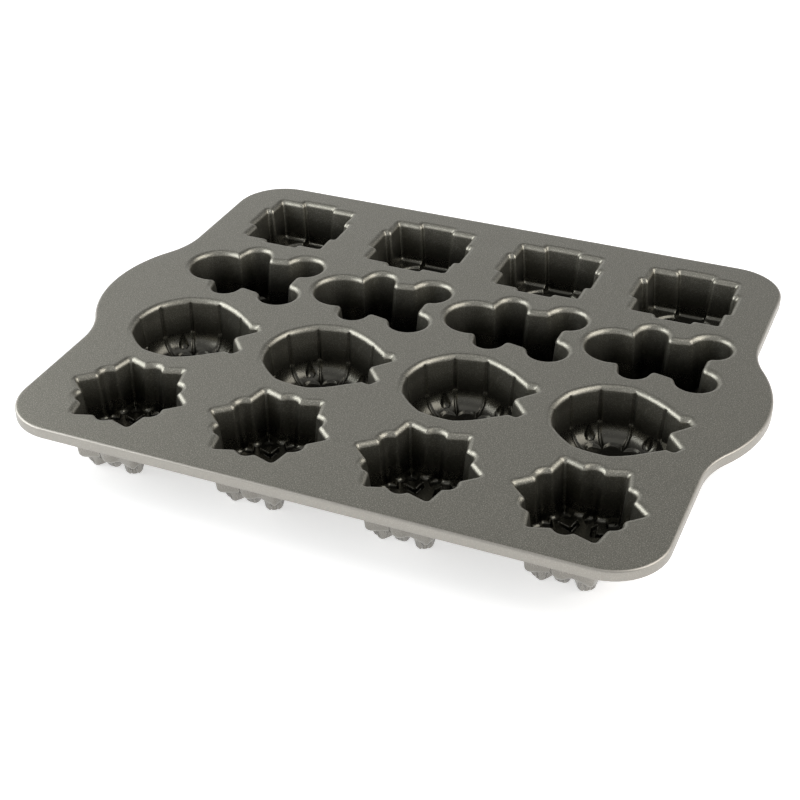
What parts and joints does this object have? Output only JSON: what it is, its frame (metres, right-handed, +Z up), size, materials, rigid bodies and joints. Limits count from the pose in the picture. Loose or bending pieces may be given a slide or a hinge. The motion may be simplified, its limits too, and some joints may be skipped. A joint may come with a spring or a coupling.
{
  "type": "shaped cake pan",
  "caption": "Flat rectangular baking pan of cast aluminium with side handles and rows of deep festive cups shaped as gifts, gingerbread figures, ribbed ball ornaments and snowflakes.",
  "frame": {"origin": "on the surface the pan stands on, under the middle of its outline", "axes": "+X along the pan from the left handle to the right handle, +Y towards the back row of cups, +Z up"},
  "size_m": [0.403, 0.312, 0.0376],
  "materials": {
    "deck_coating": "satin non-stick coating with a fine metallic speckle",
    "rim_coating": "satin silver-grey finish of the edge and the whole outside, with a fine metallic speckle",
    "cup_coating": "semi-gloss dark non-stick coating"
  },
  "bodies": {
    "root": {"deck_plate": "deck_coating", "edge_rim": "rim_coating", "left_handle": "deck_coating", "right_handle": "deck_coating", "gift_cup_1": "cup_coating", "gift_cup_2": "cup_coating", "gift_cup_3": "cup_coating", "gift_cup_4": "cup_coating", "gingerbread_cup_1": "cup_coating", "gingerbread_cup_2": "cup_coating", "gingerbread_cup_3": "cup_coating", "gingerbread_cup_4": "cup_coating", "ornament_cup_1": "cup_coating", "ornament_cup_2": "cup_coating", "ornament_cup_3": "cup_coating", "ornament_cup_4": "cup_coating", "snowflake_cup_1": "cup_coating", "snowflake_cup_2": "cup_coating", "snowflake_cup_3": "cup_coating", "snowflake_cup_4": "cup_coating"}
  },
  "joints": []
}
